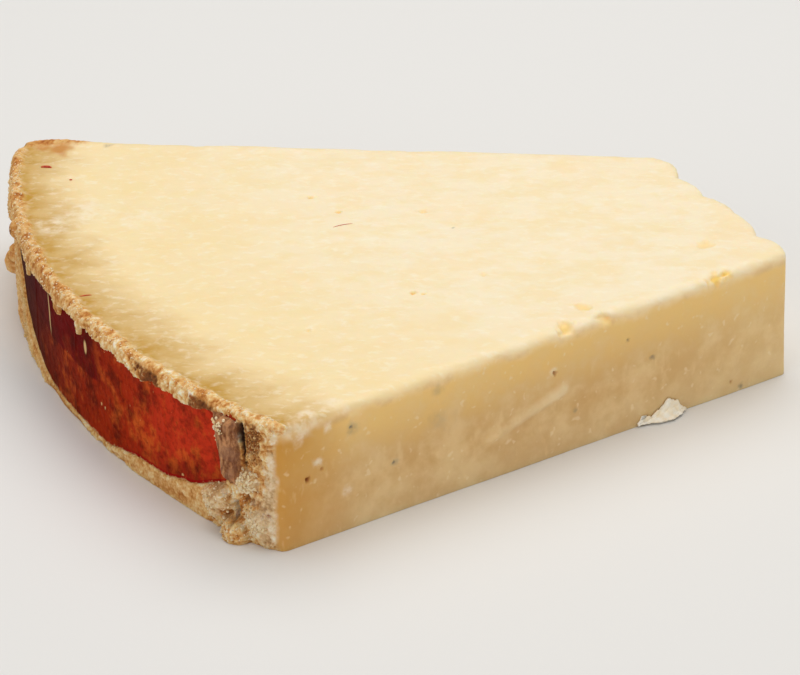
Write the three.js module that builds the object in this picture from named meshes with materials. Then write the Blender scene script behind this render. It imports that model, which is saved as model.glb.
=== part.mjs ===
// A piece of laguiole cheese: a cut from a large wheel, with its crust and the red label on it.
// Millimetres, +Z up. The plan is laid out round the centre of the wheel that the piece came from,
// with +X towards the broken tip and +Y towards the back cut, and the whole is then moved so that
// the origin is at the middle of its underside.
import * as THREE from "three";
import { mergeVertices } from "three/addons/utils/BufferGeometryUtils.js";

// The wheel and its two cuts. A cut is a plane that stands `offset` from the wheel's centre
// and faces out along `normal` degrees.
const WHEEL_RADIUS = 175;
const FRONT_CUT = { normal: -56.2, offset: 53.5 };
const BACK_CUT = { normal: 83.9, offset: -18.5 };
const FRONT_CUT_END = -40;
const BACK_CUT_START = 27;
const FRONT_TIP_ROUNDING = 1;
const BACK_TIP_ROUNDING = 3;

// The cusps of the broken tip, from the front cut to the back cut, how far each flake between two
// of them bulges, and how far the break leans out at its foot beside the front cut.
const BREAK_CUSPS = [
  [-4, -65.3], [-8.9, -58], [-12.1, -45.9], [-18, -37.6], [-22.8, -27.4], [-24.5, -18.3],
];
const BREAK_BULGE = 1.3;
const BREAK_LEAN = 2.2;

// The top face is a third cut, tilted a little: its height over the wheel's centre and its slopes.
const TOP_HEIGHT = 30.2;
const TOP_SLOPE_X = 0.02;
const TOP_SLOPE_Y = 0.006;
const CUT_EDGE_RADIUS = 1.1;
const RIND_EDGE_RADIUS = 2.2;
const BOTTOM_CHAMFER = 0.2;
const FRONT_CORNER_TRIM = 3;
const BACK_CORNER_TRIM = 11;

// The middle of the plan, as far from the crust as from both cuts.
const MIDDLE = new THREE.Vector2(-100.5, -64.2);
const INRADIUS = 55.5;

// The label: a sheet whose lower edge is arched and whose upper edge is ragged under the rim.
// Each edge runs through points given as degrees round the wheel and height.
const LABEL_FROM = -164.3;
const LABEL_TO = -133.2;
const LABEL_FOOT = [
  [-164.3, 20.5], [-163.6, 17.5], [-162.8, 10], [-160, 5], [-157.5, 2.4], [-155.5, 1.3],
  [-150, 1.5], [-146, 1.4], [-143.6, 3.2], [-141.9, 4.2], [-139, 4.4], [-136.2, 6.3], [-132.8, 10.5],
];
const LABEL_HEAD = [
  [-164.3, 22.8], [-161, 22], [-156, 23.4], [-150, 24.3], [-144, 24.4], [-141.4, 22.8],
  [-138, 24], [-136.3, 23.2], [-132.8, 24.6],
];
const LABEL_END_GAP = 0.3;
const LABEL_THICKNESS = 0.7;
const LABEL_CLEARANCE = 0.3;
const LABEL_BED_RADIUS = 173.9;
const LABEL_HEAD_LIMIT = 23.7;
const LABEL_HEAD_WAVE = 0.4;
const LABEL_HEAD_WAVE_DEGREES = 1.7;
const LABEL_LEAST_HEIGHT = 1.2;
const LABEL_EDGE_MARGIN = 0.5;

// The crust: how far its crags stand out from the wall, and the lip they make on the top face.
const CRUST_BASE = -1.1;
const CRUST_RELIEF = 2;
const CRAG_SIZE = 4.6;
const COARSE_CRAG_SHARE = 0.6;
const LIP_WIDTH = 3.8;
const LIP_RELIEF = 1.5;
const LIP_SINK = 0.3;
const BACK_LIP_LENGTH = 24;
const CURD_SIZE = 13;
const CURD_RELIEF = 0.35;

// Lumps and flaps of crust: degrees round the wheel, height, reach and how proud.
const CRUST_LUMPS = [
  { at: -168.6, height: 11.5, reach: 5, proud: 3.2 },
  { at: -165.4, height: 23.8, reach: 2.8, proud: 1.6 },
  { at: -174.5, height: 17, reach: 4, proud: 1.4 },
  { at: -133.2, height: 4.6, reach: 4.2, proud: 2.1 },
  { at: -131.2, height: 12.8, reach: 2.6, proud: 2.4 },
  { at: -131.6, height: 1, reach: 3.4, proud: 3.8 },
  { at: -130.2, height: 3.4, reach: 2.6, proud: 1.6 },
  { at: -129.4, height: 8, reach: 3.6, proud: 1 },
];

// The fold of rind by the front corner, which leans as it rises, and the crevice beside it.
const FOLD = { at: -131.95, lean: -0.033, halfWidth: 1.2, proud: 2, from: 9, to: 23.6 };
const CREVICE = { at: -130.82, lean: -0.02, halfWidth: 0.5, depth: 2.2, from: 12.5, to: 25.5 };

// Tears in the top edge of the front cut and the crumb stuck at its foot: distance along the cut.
const EDGE_TEARS = [
  { along: -96, reach: 4.5, depth: 1.3 },
  { along: -79, reach: 4, depth: 1 },
  { along: -59, reach: 3.2, depth: 2 },
];
const TEAR_SHARE_ON_TOP = 0.6;
const TOP_EDGE_FADE = 4 * CUT_EDGE_RADIUS;
const CRUMB = { along: -72.5, reach: 6.4, proud: 3, height: 3 };

// The mesh: stations round the plan and rows from the middle of the top to that of the underside.
const TOP_ROWS = 10;
const TOP_ROW_SPREAD = 2;
const ROUND_ROWS = 3;
const WALL_ROWS = 10;
const BOTTOM_ROWS = 2;
const LABEL_ROW_FIRST = 2;
const LABEL_ROW_LAST = 8;
const CRUST_STATIONS = 18;
const LABEL_STATIONS = 46;
const CORNER_CRUST_STATIONS = 14;
const FRONT_CORNER_STATIONS = 3;
const FRONT_STATIONS = 38;
const TIP_STATIONS = 2;
const BREAK_STATIONS = 4;
const TIP_BACK_STATIONS = 3;
const BACK_STATIONS = 26;
const BACK_CORNER_STATIONS = 4;
const LABEL_STEPS = 44;
const LABEL_RISERS = 5;

const WELD_DISTANCE = 1e-4;

const PASTE_LOOK = { color: 0xeed6a0, roughness: 0.55 };
const LABEL_LOOK = { color: 0xa32a18, roughness: 0.5 };

// The weights of the hash behind the noise.
const HASH_WEIGHTS = [127.1, 311.7, 74.7];
const HASH_SCALE = 43758.5453;

const { degToRad: radians, radToDeg: degrees, lerp, clamp, smoothstep } = THREE.MathUtils;

function polar(radius, angle) {
  return new THREE.Vector2(Math.cos(radians(angle)), Math.sin(radians(angle))).multiplyScalar(radius);
}

/** The point of a cut that lies `along` it, counterclockwise, from the foot of its normal. */
function onCut(cut, along) {
  return polar(cut.offset, cut.normal).add(polar(along, cut.normal + 90));
}

function halfChord(cut) {
  return Math.sqrt(WHEEL_RADIUS ** 2 - cut.offset ** 2);
}

/** A repeatable number from 0 to 1 for one point of a whole-number grid. */
function scatter(...place) {
  const phase = place.reduce((sum, value, axis) => sum + value * HASH_WEIGHTS[axis], 0);
  const value = Math.sin(phase) * HASH_SCALE;
  return value - Math.floor(value);
}

/** Smooth noise from 0 to 1 with bumps of about one unit. */
function noise(x, y, z) {
  const cell = [x, y, z].map(Math.floor);
  const [fx, fy, fz] = [x, y, z].map((value, axis) => smoothstep(value - cell[axis], 0, 1));
  let total = 0;
  for (const [i, wx] of [[0, 1 - fx], [1, fx]]) {
    for (const [j, wy] of [[0, 1 - fy], [1, fy]]) {
      for (const [k, wz] of [[0, 1 - fz], [1, fz]]) {
        total += wx * wy * wz * scatter(cell[0] + i, cell[1] + j, cell[2] + k);
      }
    }
  }
  return total;
}

/** Crags from 0 to 1: rounded knobs with sharp creases, in two sizes. */
function crags(x, y, z) {
  const knob = (size) => 1 - Math.abs(2 * noise(x / size, y / size, z / size) - 1);
  return lerp(knob(CRAG_SIZE / 2), knob(CRAG_SIZE), COARSE_CRAG_SHARE);
}

/** The height at `place` of the line that runs softly through points of the form [place, height]. */
function through(points, place) {
  const next = clamp(points.filter(([at]) => at < place).length, 1, points.length - 1);
  const [[start, low], [end, high]] = points.slice(next - 1, next + 1);
  const share = clamp((place - start) / (end - start), 0, 1);
  return lerp(low, high, (share + smoothstep(share, 0, 1)) / 2);
}

function labelLow(angle) {
  return Math.min(through(LABEL_FOOT, angle), labelHigh(angle) - LABEL_LEAST_HEIGHT);
}

function labelHigh(angle) {
  const wave = LABEL_HEAD_WAVE * (2 * noise(angle / LABEL_HEAD_WAVE_DEGREES, 0, 0) - 1);
  return Math.min(through(LABEL_HEAD, angle) + wave, LABEL_HEAD_LIMIT);
}

/** A rounded bump of height 1 that ends at `reach`. */
function bump(distance, reach) {
  return Math.sqrt(Math.max(0, 1 - (distance / reach) ** 2));
}

/** How far a ridge or furrow that leans with height stands at a place on the crust, from 0 to 1. */
function upright(feature, angle, height) {
  const middle = feature.at + feature.lean * (height - (feature.from + feature.to) / 2);
  const across = Math.abs(radians(angle - middle)) * WHEEL_RADIUS;
  const ends = smoothstep(height, feature.from - 1, feature.from + 1)
    * (1 - smoothstep(height, feature.to - 1, feature.to + 1));
  return ends * (1 - smoothstep(across, 0, 2 * feature.halfWidth));
}

/** How far the crust stands out from the wheel's wall at a place that no label covers. */
function crustRelief(angle, height) {
  const { x, y } = polar(WHEEL_RADIUS, angle);
  let out = CRUST_BASE + CRUST_RELIEF * crags(x, y, height);
  for (const lump of CRUST_LUMPS) {
    const across = radians(angle - lump.at) * WHEEL_RADIUS;
    out += lump.proud * bump(Math.hypot(across, height - lump.height), lump.reach);
  }
  out += FOLD.proud * upright(FOLD, angle, height);
  return out - CREVICE.depth * upright(CREVICE, angle, height);
}

/** How far along the front cut a station of the broken tip has moved at a height, as the break leans. */
function leanAt(station, height) {
  return station.lean ? station.lean * BREAK_LEAN * (1 - height / TOP_HEIGHT) : 0;
}

/** How far the wall of a cut stands out: soft curd relief and, on the front, the stuck crumb. */
function cutRelief(station, height) {
  const { x, y } = station.point;
  const curd = CURD_RELIEF * (2 * noise(x / CURD_SIZE, y / CURD_SIZE, height / CURD_SIZE) - 1);
  if (!station.front) return curd;
  const crumb = bump(station.along - CRUMB.along, CRUMB.reach) * bump(height, CRUMB.height);
  return curd + CRUMB.proud * crumb;
}

/** How deep the top edge of the front cut is torn at a station. */
function edgeTear(station) {
  if (!station.front) return 0;
  return EDGE_TEARS.reduce((sum, tear) => sum + tear.depth * bump(station.along - tear.along, tear.reach), 0);
}

/** Stations along a curve of the plan, without the curve's last point. */
function walk(curve, count, describe) {
  return Array.from({ length: count }, (_, index) => {
    const point = curve.getPoint(index / count);
    const tangent = curve.getTangent(index / count);
    const outward = new THREE.Vector2(tangent.y, -tangent.x);
    return { point, outward, rind: 0, lip: 0, ...describe(point) };
  });
}

function angleOf(point) {
  return degrees(Math.atan2(point.y, point.x));
}

function rindArc(from, to) {
  return new THREE.EllipseCurve(0, 0, WHEEL_RADIUS, WHEEL_RADIUS, radians(from), radians(to));
}

/** All stations of the plan, counterclockwise from the back end of the crust. */
function planStations() {
  const arcAngle = (length) => degrees(length / WHEEL_RADIUS);
  const backCorner = onCut(BACK_CUT, halfChord(BACK_CUT));
  const frontCorner = onCut(FRONT_CUT, -halfChord(FRONT_CUT));
  const rindFrom = angleOf(backCorner) + arcAngle(BACK_CORNER_TRIM);
  const rindTo = angleOf(frontCorner) - arcAngle(FRONT_CORNER_TRIM);
  const labelFrom = LABEL_FROM - LABEL_END_GAP;
  const labelTo = LABEL_TO + LABEL_END_GAP;
  const frontFrom = onCut(FRONT_CUT, FRONT_CORNER_TRIM - halfChord(FRONT_CUT));
  const frontTo = onCut(FRONT_CUT, FRONT_CUT_END);
  const backFrom = onCut(BACK_CUT, BACK_CUT_START);
  const backTo = onCut(BACK_CUT, halfChord(BACK_CUT) - BACK_CORNER_TRIM);
  const breakFrom = new THREE.Vector2(...BREAK_CUSPS[0]);
  const breakTo = new THREE.Vector2(...BREAK_CUSPS.at(-1));
  const breakLength = breakTo.distanceTo(breakFrom);
  const frontHeading = polar(1, FRONT_CUT.normal + 90);
  const frontTip = onCut(FRONT_CUT, FRONT_CUT_END + FRONT_TIP_ROUNDING);
  const backTip = onCut(BACK_CUT, BACK_CUT_START - BACK_TIP_ROUNDING);
  const onRind = (labelled) => (point) => ({ rind: 1, lip: 1, angle: angleOf(point), labelled });
  const onFront = (point) => ({ front: true, along: point.dot(frontHeading) });
  const onBreak = (point) => ({ lean: smoothstep(breakTo.distanceTo(point), 0, breakLength) });
  const onBack = (point) => {
    const left = BACK_LIP_LENGTH - point.distanceTo(backCorner);
    return { lip: smoothstep(left, 0, BACK_LIP_LENGTH) };
  };
  const corner = (from, tip, to) => new THREE.QuadraticBezierCurve(from, tip, to);
  const frontCornerCurve = corner(polar(WHEEL_RADIUS, rindTo), frontCorner, frontFrom);
  const backCornerCurve = corner(backTo, backCorner, polar(WHEEL_RADIUS, rindFrom));

  const stations = [
    ...walk(rindArc(rindFrom, labelFrom), CRUST_STATIONS, onRind(false)),
    ...walk(rindArc(labelFrom, labelTo), LABEL_STATIONS, onRind(true)),
    ...walk(rindArc(labelTo, rindTo), CORNER_CRUST_STATIONS, onRind(false)),
    ...walk(frontCornerCurve, FRONT_CORNER_STATIONS, onRind(false)),
    ...walk(new THREE.LineCurve(frontFrom, frontTo), FRONT_STATIONS, onFront),
    ...walk(corner(frontTo, frontTip, breakFrom), TIP_STATIONS, onBreak),
  ];
  stations[CRUST_STATIONS + LABEL_STATIONS].labelled = true;
  for (let index = 0; index + 1 < BREAK_CUSPS.length; index += 1) {
    const [from, to] = BREAK_CUSPS.slice(index, index + 2).map((cusp) => new THREE.Vector2(...cusp));
    const side = to.clone().sub(from).normalize();
    const crown = from.clone().add(to).multiplyScalar(0.5)
      .add(new THREE.Vector2(side.y, -side.x).multiplyScalar(2 * BREAK_BULGE));
    stations.push(...walk(corner(from, crown, to), BREAK_STATIONS, onBreak));
  }
  stations.push(
    ...walk(corner(breakTo, backTip, backFrom), TIP_BACK_STATIONS, onBack),
    ...walk(new THREE.LineCurve(backFrom, backTo), BACK_STATIONS, onBack),
    ...walk(backCornerCurve, BACK_CORNER_STATIONS, onRind(false)),
  );
  return stations;
}

/** A station's point moved in from the edge by about `inset`, towards the middle of the plan. */
function insetPoint(station, inset) {
  return station.point.clone().sub(MIDDLE).multiplyScalar(1 - inset / INRADIUS).add(MIDDLE);
}

function edgeRadius(station) {
  return station.rind ? RIND_EDGE_RADIUS : CUT_EDGE_RADIUS;
}

function topHeight(point) {
  return TOP_HEIGHT + TOP_SLOPE_X * point.x + TOP_SLOPE_Y * point.y;
}

/** The height of the top face at an inset point, with the crust's lip and the soft curd. */
function topFace(station, inset) {
  const point = insetPoint(station, inset);
  const lip = station.lip * (1 - smoothstep(inset, LIP_WIDTH / 2, LIP_WIDTH));
  const curd = CURD_RELIEF * (2 * noise(point.x / CURD_SIZE, point.y / CURD_SIZE, TOP_HEIGHT) - 1);
  const rise = LIP_RELIEF * lip * (crags(point.x, point.y, TOP_HEIGHT) - LIP_SINK);
  return topHeight(point) + curd * smoothstep(inset, 0, TOP_EDGE_FADE) + rise;
}

/** The height of wall row `row` of a station; on the label's bed the rows follow its edges. */
function wallHeight(station, row) {
  const top = topHeight(station.point) - edgeRadius(station) - edgeTear(station);
  if (!station.labelled) return lerp(top, BOTTOM_CHAMFER, row / WALL_ROWS);
  const angle = clamp(station.angle, LABEL_FROM, LABEL_TO);
  const high = labelHigh(angle) + LABEL_EDGE_MARGIN;
  const low = labelLow(angle) - LABEL_EDGE_MARGIN;
  if (row < LABEL_ROW_FIRST) return lerp(top, high, row / LABEL_ROW_FIRST);
  if (row > LABEL_ROW_LAST) {
    return lerp(low, BOTTOM_CHAMFER, (row - LABEL_ROW_LAST) / (WALL_ROWS - LABEL_ROW_LAST));
  }
  return lerp(high, low, (row - LABEL_ROW_FIRST) / (LABEL_ROW_LAST - LABEL_ROW_FIRST));
}

/** How far wall row `row` of a station stands out from the plan. */
function wallRelief(station, row, height) {
  if (!station.rind) return cutRelief(station, height);
  const bed = station.labelled && row >= LABEL_ROW_FIRST && row <= LABEL_ROW_LAST;
  return bed ? LABEL_BED_RADIUS - WHEEL_RADIUS : crustRelief(station.angle, height);
}

function wallPoint(station, row) {
  const height = wallHeight(station, row);
  const out = station.outward.clone().multiplyScalar(wallRelief(station, row, height))
    .add(polar(leanAt(station, height), FRONT_CUT.normal + 90));
  return new THREE.Vector3(station.point.x + out.x, station.point.y + out.y, height);
}

/** The rounded edge between the top face and the wall: step 0 is on the face. */
function roundedEdge(station, step) {
  const radius = edgeRadius(station);
  const turn = (step / ROUND_ROWS) * (Math.PI / 2);
  const wall = wallPoint(station, 0);
  const face = insetPoint(station, radius);
  const high = topFace(station, radius) - edgeTear(station) * TEAR_SHARE_ON_TOP;
  const out = Math.sin(turn);
  const down = 1 - Math.cos(turn);
  return new THREE.Vector3(lerp(face.x, wall.x, out), lerp(face.y, wall.y, out), lerp(high, wall.z, down));
}

/** The point of the surface at one station and row. */
function surfacePoint(station, row) {
  const radius = edgeRadius(station);
  if (row < TOP_ROWS) {
    const share = ((TOP_ROWS - row) / TOP_ROWS) ** TOP_ROW_SPREAD;
    const inset = radius + (INRADIUS - radius) * share;
    const point = insetPoint(station, inset);
    return new THREE.Vector3(point.x, point.y, row === 0 ? topHeight(MIDDLE) : topFace(station, inset));
  }
  if (row < TOP_ROWS + ROUND_ROWS) return roundedEdge(station, row - TOP_ROWS);
  const wallRow = row - TOP_ROWS - ROUND_ROWS;
  if (wallRow <= WALL_ROWS) return wallPoint(station, wallRow);
  const foot = wallPoint(station, WALL_ROWS);
  const share = (wallRow - WALL_ROWS - 1) / BOTTOM_ROWS;
  const point = new THREE.Vector2(foot.x, foot.y).sub(MIDDLE)
    .multiplyScalar((1 - BOTTOM_CHAMFER / INRADIUS) * (1 - share)).add(MIDDLE);
  return new THREE.Vector3(point.x, point.y, 0);
}

/** The cheese as one closed solid: a sphere's grid with every vertex put on the surface. */
function cheeseGeometry() {
  const stations = planStations();
  const rows = TOP_ROWS + ROUND_ROWS + WALL_ROWS + 1 + BOTTOM_ROWS;
  const geometry = new THREE.SphereGeometry(1, stations.length, rows);
  const position = geometry.getAttribute("position");
  for (let row = 0; row <= rows; row += 1) {
    for (let index = 0; index <= stations.length; index += 1) {
      const point = surfacePoint(stations[index % stations.length], row);
      position.setXYZ(row * (stations.length + 1) + index, point.x, point.y, point.z);
    }
  }
  return welded(geometry);
}

/** The label as one thin curved plate, a little proud of its bed on the crust. */
function labelGeometry() {
  const geometry = new THREE.BoxGeometry(1, 1, 1, LABEL_STEPS, 1, LABEL_RISERS);
  const position = geometry.getAttribute("position");
  const outer = LABEL_BED_RADIUS + LABEL_CLEARANCE + LABEL_THICKNESS;
  for (let index = 0; index < position.count; index += 1) {
    const angle = lerp(LABEL_FROM, LABEL_TO, position.getX(index) + 0.5);
    const radius = outer - LABEL_THICKNESS * (position.getY(index) + 0.5);
    const height = lerp(labelLow(angle), labelHigh(angle), position.getZ(index) + 0.5);
    const { x, y } = polar(radius, angle);
    position.setXYZ(index, x, y, height);
  }
  return welded(geometry);
}

function welded(geometry) {
  geometry.deleteAttribute("normal");
  geometry.deleteAttribute("uv");
  const solid = mergeVertices(geometry, WELD_DISTANCE);
  solid.computeVertexNormals();
  return solid;
}

function piece(name, geometry, look) {
  const mesh = new THREE.Mesh(geometry, new THREE.MeshStandardMaterial({ ...look, metalness: 0 }));
  mesh.name = name;
  return mesh;
}

const group = new THREE.Group();
group.add(piece("cheese", cheeseGeometry(), PASTE_LOOK));
group.add(piece("label", labelGeometry(), LABEL_LOOK));

const box = new THREE.Box3().setFromObject(group);
const centre = box.getCenter(new THREE.Vector3());
group.position.set(-centre.x, -centre.y, -box.min.z);

export default group;
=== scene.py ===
"""Dresses a cut of laguiole cheese: its paste, its craggy rind, the red label and the crumbs on it."""

from __future__ import annotations

import logging
import math
import random
from dataclasses import dataclass
from enum import Enum
from functools import cached_property
from typing import Callable, Iterable, Sequence

import bmesh
import bpy
from mathutils import Matrix, Vector, noise
from mathutils.bvhtree import BVHTree

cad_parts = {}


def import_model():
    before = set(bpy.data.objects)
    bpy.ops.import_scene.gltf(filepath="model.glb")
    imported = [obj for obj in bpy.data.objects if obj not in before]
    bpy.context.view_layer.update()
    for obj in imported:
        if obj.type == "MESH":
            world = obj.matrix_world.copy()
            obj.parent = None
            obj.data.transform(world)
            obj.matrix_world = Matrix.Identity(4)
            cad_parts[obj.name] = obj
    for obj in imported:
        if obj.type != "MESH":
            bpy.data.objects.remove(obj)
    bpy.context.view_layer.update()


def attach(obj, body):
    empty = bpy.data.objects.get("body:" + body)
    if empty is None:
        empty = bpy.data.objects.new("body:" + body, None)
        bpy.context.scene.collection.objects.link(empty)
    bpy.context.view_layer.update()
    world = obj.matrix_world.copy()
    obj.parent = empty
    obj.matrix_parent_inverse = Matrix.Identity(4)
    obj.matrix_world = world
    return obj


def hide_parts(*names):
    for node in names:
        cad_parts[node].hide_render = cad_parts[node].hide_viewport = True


LOG = logging.getLogger("cheese")
MM = 0.001
UP = Vector((0.0, 0.0, 1.0))
SEED = 7
WHEEL_RADIUS = 175.0
ARC = math.radians(1.0) * WHEEL_RADIUS

BMesh = bmesh.types.BMesh
Vert = bmesh.types.BMVert
Piece = bpy.types.Object
Material = bpy.types.Material
Colour = tuple[float, float, float, float]
Place = tuple[float, float, float]
Pair = tuple[float, float]
Line = tuple[Pair, ...]
Number = "float | Sock"


def tint(*shown: float) -> Colour:
    """Turn a colour as a screen shows it into the linear colour that a shader takes.

    Args:
        shown: Red, green and blue as shown on a screen, 0 to 255.

    Returns:
        The linear colour with full alpha.
    """
    shares = [value / 255.0 for value in shown]
    return (*(s / 12.92 if s <= 0.04045 else ((s + 0.055) / 1.055) ** 2.4 for s in shares), 1.0)


def smoothstep(value: float, low: float, high: float) -> float:
    """Rise smoothly from 0 at low to 1 at high."""
    share = min(1.0, max(0.0, (value - low) / (high - low)))
    return share * share * (3.0 - 2.0 * share)


def between(value: float, rise: Pair, fall: Pair) -> float:
    """Rise smoothly to 1 over the first pair of values and fall back to 0 over the second."""
    return smoothstep(value, *rise) * (1.0 - smoothstep(value, *fall))


def bump(distance: float, reach: float) -> float:
    """A rounded bump of height 1 that ends at reach."""
    return math.sqrt(max(0.0, 1.0 - (distance / reach) ** 2))


def hills(place: Vector, size: float) -> float:
    """Soft hills and hollows, from about -1 to 1 and about size millimetres across."""
    return noise.noise(place / (size * MM))


def crumbs(place: Vector, size: float) -> float:
    """Crumbs of about one size: 1 on a crumb's crown, 0 in the crease between crumbs."""
    nearest = noise.voronoi(place / (size * MM))[0][0]
    return 1.0 - min(1.0, nearest * nearest * 1.6)


def through(points: Line, place: float) -> float:
    """Follow the line that runs softly through some points.

    Args:
        points: The points, by rising place.
        place: Where along the line.

    Returns:
        The line's height there.
    """
    if place <= points[0][0]:
        return points[0][1]
    for (start, low), (end, high) in zip(points, points[1:]):
        if place <= end:
            share = (place - start) / (end - start)
            return low + (high - low) * (0.5 * share + 0.5 * smoothstep(share, 0.0, 1.0))
    return points[-1][1]


# The shader graph


@dataclass(frozen=True)
class Sock:
    """A socket of a shader graph that takes part in written sums."""

    graph: "Graph"
    socket: bpy.types.NodeSocket | None

    def __add__(self, other: Number) -> "Sock":
        """Add a number or a socket."""
        return self.graph.maths("ADD", self, other)

    __radd__ = __add__

    def __sub__(self, other: Number) -> "Sock":
        """Take a number or a socket away."""
        return self.graph.maths("SUBTRACT", self, other)

    def __rsub__(self, other: Number) -> "Sock":
        """Take this socket away from a number."""
        return self.graph.maths("SUBTRACT", other, self)

    def __mul__(self, other: Number) -> "Sock":
        """Multiply by a number or a socket."""
        return self.graph.maths("MULTIPLY", self, other)

    __rmul__ = __mul__

    def clamped(self) -> "Sock":
        """Hold the value between 0 and 1."""
        return self.graph.node("ShaderNodeClamp", {}, Value=self)

    def ramp(self, low: float, high: float) -> "Sock":
        """Rise smoothly from 0 at low to 1 at high."""
        kind = {"interpolation_type": "SMOOTHSTEP"}
        return self.graph.node("ShaderNodeMapRange", kind, "Result", Value=self, From_Min=low, From_Max=high)


class Graph:
    """The node graph of one material."""

    def __init__(self, name: str) -> None:
        """Start an empty material of that name."""
        self.material = bpy.data.materials.new(name)
        self.material.use_nodes = True
        self.tree = self.material.node_tree
        self.tree.nodes.clear()

    def node(self, kind: str, settings: dict[str, object], out: str | int = 0, **inputs: object) -> Sock:
        """Add any node.

        Args:
            kind: The node's type.
            settings: Attributes of the node, and under "stops" a ramp's places and colours.
            out: The name or number of the output wanted.
            inputs: Values or sockets by input name, with an underscore for each space; a name
                such as i1 is the input with that number.

        Returns:
            The output socket.
        """
        node = self.tree.nodes.new(kind)
        for key, value in settings.items():
            if key == "stops":
                self._stops(node.color_ramp, value)
            else:
                setattr(node, key, value)
        for key, value in inputs.items():
            numbered = key[0] == "i" and key[1:].isdigit()
            target = node.inputs[int(key[1:]) if numbered else key.replace("_", " ")]
            if isinstance(value, Sock):
                self.tree.links.new(value.socket, target)
            else:
                target.default_value = value
        return Sock(self, node.outputs[out] if node.outputs else None)

    @staticmethod
    def _stops(ramp: bpy.types.ColorRamp, stops: Sequence[tuple[float, Colour]]) -> None:
        """Give a colour ramp its stops."""
        while len(ramp.elements) < len(stops):
            ramp.elements.new(1.0)
        for element, (place, colour) in zip(ramp.elements, stops):
            element.position = place
            element.color = colour

    def maths(self, operation: str, first: Number, second: Number) -> Sock:
        """Add a Math node on two values."""
        return self.node("ShaderNodeMath", {"operation": operation}, i0=first, i1=second)

    def vectors(self, operation: str, *values: object) -> Sock:
        """Add a Vector Math node on some vectors."""
        inputs = {f"i{index}": value for index, value in enumerate(values)}
        return self.node("ShaderNodeVectorMath", {"operation": operation}, "Vector", **inputs)

    def attribute(self, name: str | Enum) -> Sock:
        """Read a number kept at the mesh's vertices."""
        name = name.value if isinstance(name, Enum) else name
        return self.node("ShaderNodeAttribute", {"attribute_name": name}, "Fac")

    def place(self, scale: Place = (1.0, 1.0, 1.0)) -> Sock:
        """The place on the piece in millimetres, stretched by a scale for each axis."""
        where = self.node("ShaderNodeTexCoord", {}, "Object")
        return self.vectors("MULTIPLY", where, tuple(axis / MM for axis in scale))

    def cloud(self, where: Sock, size: float, detail: float = 3.0, rough: float = 0.55) -> Sock:
        """Soft noise from 0 to 1 whose blots are about size millimetres across."""
        look = {"Scale": 1.0 / size, "Detail": detail, "Roughness": rough}
        return self.node("ShaderNodeTexNoise", {}, "Fac", Vector=where, **look)

    def shades(self, level: Sock, *stops: tuple[float, Colour]) -> Sock:
        """A colour that follows a level from 0 to 1 through some stops."""
        return self.node("ShaderNodeValToRGB", {"stops": stops}, "Color", Fac=level)

    def coats(self, base: object, *coats: tuple[Number, object]) -> Sock:
        """Lay colours over a base, one by one.

        Args:
            base: A colour or a socket.
            coats: How much of each further colour, 0 to 1, and that colour.

        Returns:
            The colour on top.
        """
        kind = {"data_type": "RGBA", "blend_type": "MIX"}
        for share, colour in coats:
            base = self.node("ShaderNodeMix", kind, 2, i0=share, i6=base, i7=colour)
        return base

    def relief(self, height: Sock, depth: float) -> Sock:
        """A normal from a height map, with its depth in millimetres."""
        return self.node("ShaderNodeBump", {}, "Normal", Height=height, Distance=depth * MM, Strength=1.0)

    def finish(self, **surface: object) -> Material:
        """Close the graph with a Principled surface.

        Args:
            surface: The Principled inputs, as in node().

        Returns:
            The material.
        """
        shader = self.node("ShaderNodeBsdfPrincipled", {}, "BSDF", **surface)
        self.node("ShaderNodeOutputMaterial", {}, Surface=shader)
        return self.material


# The shape that the piece was cut to


@dataclass(frozen=True)
class Cut:
    """A plane cut that stands offset metres from the wheel's centre and faces out along normal."""

    normal: float
    offset: float

    @cached_property
    def facing(self) -> Vector:
        """The unit vector that points out of the cheese."""
        return Vector((math.cos(math.radians(self.normal)), math.sin(math.radians(self.normal)), 0.0))

    @cached_property
    def heading(self) -> Vector:
        """The unit vector along the cut, counterclockwise round the piece."""
        return UP.cross(self.facing)


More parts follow.
